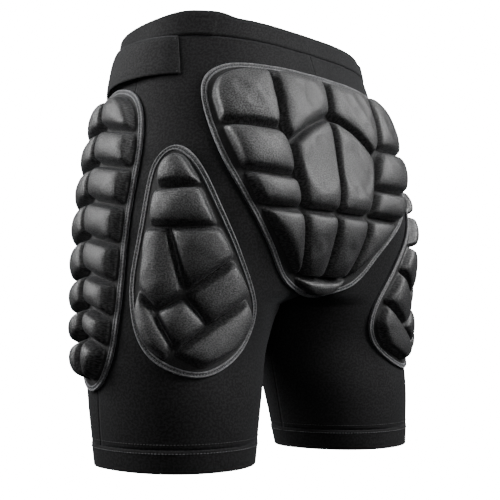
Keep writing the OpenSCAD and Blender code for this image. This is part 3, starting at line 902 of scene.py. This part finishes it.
def membrane(mask, flatness):
    """Height of a sheet blown up from below and held down outside the mask, at most 1."""
    lift_now = np.zeros(mask.shape)
    pull = (GRID / flatness) ** 2
    for _ in range(MEMBRANE_STEPS):
        total = np.zeros(mask.shape)
        total[1:] += lift_now[:-1]
        total[:-1] += lift_now[1:]
        total[:, 1:] += lift_now[:, :-1]
        total[:, :-1] += lift_now[:, 1:]
        lift_now = mask * (total + pull) / (4 + pull)
    return lift_now


def crease_noise(a, z):
    """Small folds in the cover, in millimetres."""
    return (0.22 * np.sin(a / 5.3 + 2.1 * np.sin(z / 11.0)) * np.sin(z / 6.1 + a / 19.0)
            + 0.12 * np.sin(a / 2.9 - z / 4.3))


def simulate_cover(points, sewn):
    """How far each point of a cover moves when it is blown up as cloth, held where it is sewn."""
    scene = bpy.context.scene
    mesh = bpy.data.meshes.new("cover_trial")
    mesh.from_pydata((points.reshape(-1, 3) * MM).tolist(), [], grid_faces(*sewn.shape).tolist())
    trial = bpy.data.objects.new("cover_trial", mesh)
    scene.collection.objects.link(trial)
    trial.vertex_groups.new(name="sewn").add(np.flatnonzero(sewn).tolist(), 1.0, "REPLACE")
    cloth = trial.modifiers.new("cloth", "CLOTH")
    cloth.collision_settings.use_collision = False
    cloth.point_cache.frame_start, cloth.point_cache.frame_end = 1, SIM_FRAMES
    settings = cloth.settings
    settings.mass = SIM_MASS
    settings.bending_stiffness = SIM_BENDING
    settings.use_pressure = True
    settings.uniform_pressure_force = SIM_PRESSURE
    settings.vertex_group_mass = "sewn"
    settings.effector_weights.gravity = 0.0
    for step in range(1, SIM_FRAMES + 1):
        scene.frame_set(step)
    swollen = trial.evaluated_get(bpy.context.evaluated_depsgraph_get()).to_mesh()
    places = np.zeros(points.size)
    swollen.vertices.foreach_get("co", places)
    bpy.data.objects.remove(trial)
    bpy.data.meshes.remove(mesh)
    scene.frame_set(1)
    moved = places.reshape(points.shape) / MM - points
    length = np.maximum(np.linalg.norm(moved, axis=-1, keepdims=True), 1e-9)
    return moved * SIM_LIMIT * np.tanh(length / SIM_LIMIT) / length


def pad_cover(outline, cells, form, base, height):
    """One pad's cover: domed cells, sunk grooves and a flat flange, as one sheet of cloth.

    Each cell is its corners, its share of the full height, and the softness of its corners.
    """
    low, high = outline.min(0) - COVER_MARGIN, outline.max(0) + COVER_MARGIN
    a, z = np.meshgrid(np.arange(low[0], high[0], GRID), np.arange(low[1], high[1], GRID))
    rim = outline_distance(outline, a, z)
    puff = np.zeros(a.shape)
    for cell, share, softness in cells:
        inside = cell_distance(cell, a, z, softness) + form["grow"]
        dome = membrane((inside > DOME_START).astype(float), form["reach"])
        dome = (dome / dome.max()) ** DOME_POWER
        wall = 1 - (1 - np.clip(inside / form["bevel"], 0, 1)) ** WALL_POWER
        puff = np.maximum(puff, (1 - form["crown"] + form["crown"] * dome) * wall * share)
    surface, normals = base(a, z)
    tight = np.clip(puff * 3, 0, 1)
    points = raise_off(surface, normals, FLOOR + height * puff + crease_noise(a, z) * tight * 0.8)
    coarse = (slice(None, None, SIM_STRIDE),) * 2
    moved = simulate_cover(points[coarse], puff[coarse] < SEWN_BELOW)
    rows, columns = np.meshgrid(*[np.arange(n) / SIM_STRIDE for n in a.shape], indexing="ij")
    points += read(moved, rows, columns)
    quads = grid_faces(*a.shape)
    quads = quads[(rim > COVER_INSET).ravel()[quads].all(axis=1)]
    used = np.unique(quads)
    order = np.full(a.size, -1)
    order[used] = np.arange(len(used))
    flat = np.stack([a.ravel(), z.ravel()], -1)[used]
    return points.reshape(-1, 3)[used], order[quads], flat, puff.ravel()[used]


def inset_path(outline, distance):
    """The outline moved inwards."""
    turned = outline if signed_area(outline) > 0 else outline[::-1]
    step = np.roll(turned, -1, axis=0) - np.roll(turned, 1, axis=0)
    step /= np.hypot(*step.T)[:, None]
    inward = np.stack([-step[:, 1], step[:, 0]], -1)
    return turned + inward * distance


# The binding's stitches: their inset from the outline and their offset off the surface
VALLEY_INSET = 2.4
VALLEY_STITCHES = 2.95
# Inset from the outline, offset off the surface, and how much of the cloth's own colour shows there, the
# rest being painted shade
BINDING_SECTION = [
    (-0.3, 0.5, 0.0), (-0.25, 2.2, 0.3), (0.2, 3.0, 0.9), (0.8, 3.4, 1.0), (1.5, 3.0, 0.7),
    (1.9, 2.4, 0.0), (3.1, 2.3, 0.0), (3.6, 3.0, 0.7), (4.2, 3.35, 1.0), (4.8, 3.0, 0.8),
    (5.3, 2.2, 0.0), (4.6, 1.2, 0.0), (2.0, 0.9, 0.0),
]


def pad_binding(name, outline, base, mirror):
    """Two rolled edges round the pad, with a valley between."""
    loops, flats, unshaded_shares = [], [], []
    marks = lengths_along(inset_path(outline, BINDING_SECTION[0][0]))
    for inset, offset, unshaded_share in BINDING_SECTION:
        path = inset_path(outline, inset)
        loops.append(lift(base, *path.T, offset))
        flats.append(np.stack([marks, np.full(len(marks), inset)], -1))
        # painted shade darkens the binding where this share is low, in the valley and on the ridges'
        # flanks
        unshaded_shares.append(np.full(len(path), unshaded_share))
    points, faces, cloth = swept_ring(loops, flats)
    return make_piece(name, points, faces, cloth, TRIM, values=np.concatenate(unshaded_shares), mirror=mirror)


def pad_backing(name, outline, base, mirror):
    """Thin backing sheet under the whole pad."""
    middle = outline.mean(0)
    shares = np.linspace(BACKING_HOLE, 1, BACKING_ROWS)[:, None, None]
    places = middle + shares * (inset_path(outline, 0.0) - middle)
    surface, normals = base(places[..., 0], places[..., 1])
    top = raise_off(surface, normals, BACKING_TOP)
    under = raise_off(surface, normals, BACKING_UNDER)
    ring = swept_ring([*under, *top[::-1]], [*places, *places[::-1]])
    return make_piece(name, *ring, BASE, mirror=mirror)


def build_pads(part, sides, outline, cells, form, base, height):
    """Cover, backing, binding and stitching of a pad, on each of its sides."""
    points, faces, cloth, puff = pad_cover(outline, cells, form, base, height)
    seam = inset_path(outline, VALLEY_INSET)
    seam = np.concatenate([seam, seam[:1]])
    for suffix, mirror in sides:
        cover = make_piece(f"{part}_cover{suffix}", points, faces, cloth, COVER, puff, mirror)
        finish_piece(cover, "shorts", "pad_cover", f"{part}_cells{suffix}")
        backing = pad_backing(f"{part}_backing{suffix}", outline, base, mirror)
        finish_piece(backing, "shorts", "pad_base", f"{part}_base{suffix}")
        binding = pad_binding(f"{part}_edge{suffix}", outline, base, mirror)
        finish_piece(binding, "shorts", "edge_binding", f"{part}_binding{suffix}")
        stitches = sew(f"{part}_stitches{suffix}", base, seam, VALLEY_STITCHES, THREAD, 3.0, 0.32,
                       mirror)
        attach(stitches, "shorts")


def mirrored(places):
    """Flat places on the other side of the back seam."""
    return [(-p[0], p[1]) for p in places]


# Each cell is its corners' flat places, drawn half a groove inside the lines that split the pad
G = GROOVE_HALF
SEAT_SIDE = [(60, 397), (118, 391), (145, 365), (143, 310), (121, 258), (84, 214), (50, 178)]
SEAT_CELLS = [
    [(G, 389), (71 - G, 388), (73 - G, 330), (66 - G, 319), (34, 337 + G), (G, 350 + G)],
    [(71 + G, 388), (108, 384), (127, 375), (136, 358), (134, 326 + G), (73 + G, 326 + G)],
    [(73 + G, 326 - G), (132, 326 - G), (120, 281 + G), (59 + G, 281 + G), (65 + G, 310)],
    [(59 + G, 281 - G), (118, 281 - G), (105, 250 + G), (51 + G, 251 + G)],
    [(G, 350 - G), (34, 337 - G), (63 - G, 315 - G), (59 - G, 285), (49 - G, 251 + G), (G, 251 + G)],
    [(49 + G, 251 - G), (99, 250 - G), (72, 222), (40, 189), (37, 189)],
    [(G, 251 - G), (49 - G, 251 - G), (43, 220), (34 - G, 189), (G, 189)],
]
SEAT_TIP = [(-38, 184), (-22, 174), (0, 170.5), (22, 174), (38, 184)]
SOFTNESS = 1.8
HIP_SOFTNESS = 2.2


def build_seat_pad():
    outline = loop_through([(0, 398)] + SEAT_SIDE + [(0, 167)] + mirrored(SEAT_SIDE)[::-1], 14)
    cells = []
    for cell in SEAT_CELLS:
        cells += [(cell, 1.0, SOFTNESS), (mirrored(cell), 1.0, SOFTNESS)]
    cells.append((SEAT_TIP, 0.85, 1.6))
    build_pads("seat_pad", [("", False)], outline, cells, SEAT_FORM, seat_base, SEAT_HEIGHT)


THIGH_OUTLINE = [
    (72, 305), (50, 290), (44, 240), (37, 165), (60, 108),
    (108, 87), (154, 109), (168, 148), (143, 203), (102, 279),
]
THIGH_CELLS = [
    [(61, 266), (61, 286), (70, 295), (79, 293), (97, 268)],
    [(57, 230), (59, 260), (100, 261), (115, 230)],
    [(53, 224), (73, 224), (81, 186), (86, 167), (67, 152), (50, 170)],
    [(78, 224), (119, 225), (132, 201), (92, 171), (86, 188)],
    [(93, 164), (133, 195), (151, 166), (112, 138)],
    [(68, 146), (89, 158), (109, 136), (86, 115)],
    [(113, 133), (150, 159), (158, 142), (145, 114), (111, 97), (87, 109)],
    [(49, 165), (65, 144), (81, 116), (76, 105), (57, 119), (47, 144)],
]


def build_thigh_pads():
    outline = loop_through(THIGH_OUTLINE, 16)
    cells = [(cell, 1.0, SOFTNESS) for cell in THIGH_CELLS]
    build_pads("thigh_pad", both_sides(""), outline, cells, THIGH_FORM, side_base, THIGH_HEIGHT)


# The rear edge of the hip pad: height and side place
HIP_EDGE = [
    (72, -3), (80, 8), (98, 20), (140, 27), (190, 26), (240, 28), (290, 31), (330, 26), (358, 13),
    (372, -6), (379, -36),
]
HIP_STATIONS = [80, 98, 120, 165, 210, 255, 300, 335, 358, 372]
# Heights of the grooves, how far they fall from the middle to the edge, and the flange's width
HIP_ROWS = [335, 298, 261, 224, 187, 154, 126]
HIP_DROOP = 12.0
HIP_FLANGE = 9.0


def hip_middle(z):
    """Side place of the groove between the two columns of cells."""
    return float(-38 + 30 * ease((260 - z) / 170))


def hip_cell_edge(z):
    """Side place of the rear column's outer edge."""
    return float(curve(HIP_EDGE, 1, z)) - HIP_FLANGE


def hip_inner(z):
    """Side place of the rear column's inner edge."""
    return hip_middle(z) + G


def hip_cells():
    """The two columns of cells, split by drooping grooves."""
    back = [
        [(hip_inner(368), 368), (-11, 366), (8, 351), (hip_cell_edge(328), 328 + G - HIP_DROOP / 2),
         (hip_inner(338), HIP_ROWS[0] + G)],
    ]
    for high, low in zip(HIP_ROWS[:-1], HIP_ROWS[1:]):
        high, low = high - G, low + G
        back.append([
            (hip_inner(high), high), (hip_cell_edge(high - HIP_DROOP), high - HIP_DROOP),
            (hip_cell_edge(low - HIP_DROOP), low - HIP_DROOP), (hip_inner(low), low),
        ])
    last = HIP_ROWS[-1]
    back.append([(hip_inner(last), last - G), (hip_cell_edge(114), 114 - G), (hip_cell_edge(97), 97),
                 (hip_cell_edge(88), 88), (hip_inner(84), 84)])
    cells = []
    for cell in back:
        front = [(2 * hip_middle(z) - s, z) for s, z in cell]
        cells += [(cell, 1.0, HIP_SOFTNESS), (front, 1.0, HIP_SOFTNESS)]
    return cells


def build_hip_pads():
    back = [(float(curve(HIP_EDGE, 1, z)), z) for z in HIP_STATIONS]
    front = [(2 * hip_middle(z) - s, z) for s, z in back]
    outline = loop_through([(-8, 73)] + back + [(-38, 379)] + front[::-1], 12)
    build_pads("hip_pad", both_sides(""), outline, hip_cells(), HIP_FORM, side_base, HIP_HEIGHT)


# ---------- seams on the shell ----------

# Height of each row round the legs, its stitches' offset off the surface, and their thread
HEM_ROWS = {"hem_stitches": (19.0, 0.75, THREAD), "hem_seam": (27.0, 0.1, DARK_THREAD)}
STRAP_END_ROW = [(50.5, 383.0), (38.5, 423.0)]
STRAP_END_OFFSET = 1.5


def sew_rows(part, path, offset, thread):
    """A row of stitches on the shell or on a band, on both sides."""
    for name, mirror in both_sides(part):
        piece = sew(name, side_base, path, offset, thread, 3.2, 0.28, mirror)
        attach(piece, "shorts")


def build_seams():
    """Stitch rows on the shell, the hems and the straps' sewn ends."""
    for part, (z, offset, thread) in HEM_ROWS.items():
        sew_rows(part, [(1 - front_length(z), z), (back_length(z) - 1, z)], offset, thread)
    sew_rows("strap_end_stitches", STRAP_END_ROW, STRAP_END_OFFSET, DARK_THREAD)


# ---------- studio ----------

CAMERA_AZIMUTH = 137.0
CAMERA_PLACE = (0.6684, 0.7077, 0.1325)
CAMERA_PITCH = 5.0
CAMERA_LENS = 63.07
CAMERA_SENSOR = 36.0
CAMERA_SHIFT = (-0.0096, 0.004)
WHITE = (1.0, 1.0, 1.0, 1.0)
FLOOR_COLOUR = (0.9, 0.9, 0.9, 1.0)
SURROUND = 20.0
FLOOR_GLOW = 18.0
FLOOR_SIZE = 60.0
FLOOR_DROP = 0.0005
AIM = Vector((0, 0, 0.24))
# Each panel's place from the aim (to the picture's right, towards the camera, up), size and watts
PANELS = {
    "panel_right": (1.35, 0.3, 0.8, (0.7, 0.9), 62.0),
    "panel_left": (-1.35, 0.12, 0.65, (0.6, 0.9), 50.0),
    "panel_top": (0.2, 0.2, 1.5, (0.8, 0.5), 10.0),
    "panel_front": (0.1, 1.4, 0.2, (1.2, 1.0), 7.0),
    "panel_behind": (0.0, -1.2, 0.9, (1.2, 0.8), 8.0),
}


def aim_along(item, direction):
    """Turns a camera or a light to look along a direction."""
    item.rotation_mode = "QUATERNION"
    item.rotation_quaternion = direction.to_track_quat("-Z", "Y")
    bpy.context.scene.collection.objects.link(item)


def build_camera():
    data = bpy.data.cameras.new("camera")
    data.lens = CAMERA_LENS
    data.sensor_width = CAMERA_SENSOR
    data.shift_x, data.shift_y = CAMERA_SHIFT
    camera = bpy.data.objects.new("camera", data)
    camera.location = CAMERA_PLACE
    a, e = math.radians(CAMERA_AZIMUTH), math.radians(CAMERA_PITCH)
    aim_along(camera, Vector((-math.sin(a) * math.cos(e), math.cos(a) * math.cos(e), math.sin(e))))
    bpy.context.scene.camera = camera


def build_light(name, right, toward, up, size, power):
    """A soft panel of light placed from the camera's side, aimed at the shorts."""
    a = math.radians(CAMERA_AZIMUTH)
    ahead = Vector((math.sin(a), -math.cos(a), 0))
    side = Vector((-ahead.y, ahead.x, 0))
    place = AIM + side * right + ahead * toward + Vector((0, 0, up))
    data = bpy.data.lights.new(name, "AREA")
    data.shape = "RECTANGLE"
    data.size, data.size_y = size
    data.energy = power
    light = bpy.data.objects.new(name, data)
    light.location = place
    aim_along(light, AIM - place)


def build_backdrop():
    """White surround and pale floor that the camera sees, and that throw no light on the cloth."""
    world = bpy.data.worlds.new("studio")
    bpy.context.scene.world = world
    world.use_nodes = True
    set_inputs(world.node_tree.nodes["Background"], color=WHITE, strength=SURROUND)
    world.cycles_visibility.diffuse = False
    world.cycles_visibility.glossy = False
    bpy.ops.mesh.primitive_plane_add(size=FLOOR_SIZE, location=(0, 0, -FLOOR_DROP))
    floor = bpy.context.object
    floor.name = "studio_floor"
    floor.visible_diffuse = False
    floor.visible_glossy = False
    material = bpy.data.materials.new("studio_floor")
    material.use_nodes = True
    set_inputs(material.node_tree.nodes["Principled BSDF"], base_color=FLOOR_COLOUR, roughness=0.9,
               emission_color=WHITE, emission_strength=FLOOR_GLOW)
    floor.data.materials.append(material)


def build_studio():
    build_camera()
    build_backdrop()
    for name, settings in PANELS.items():
        build_light(name, *settings)


build_studio()
build_band()
build_shell()
build_gusset()
build_hems()
build_straps()
build_patches()
build_seat_pad()
build_thigh_pads()
build_hip_pads()
build_seams()
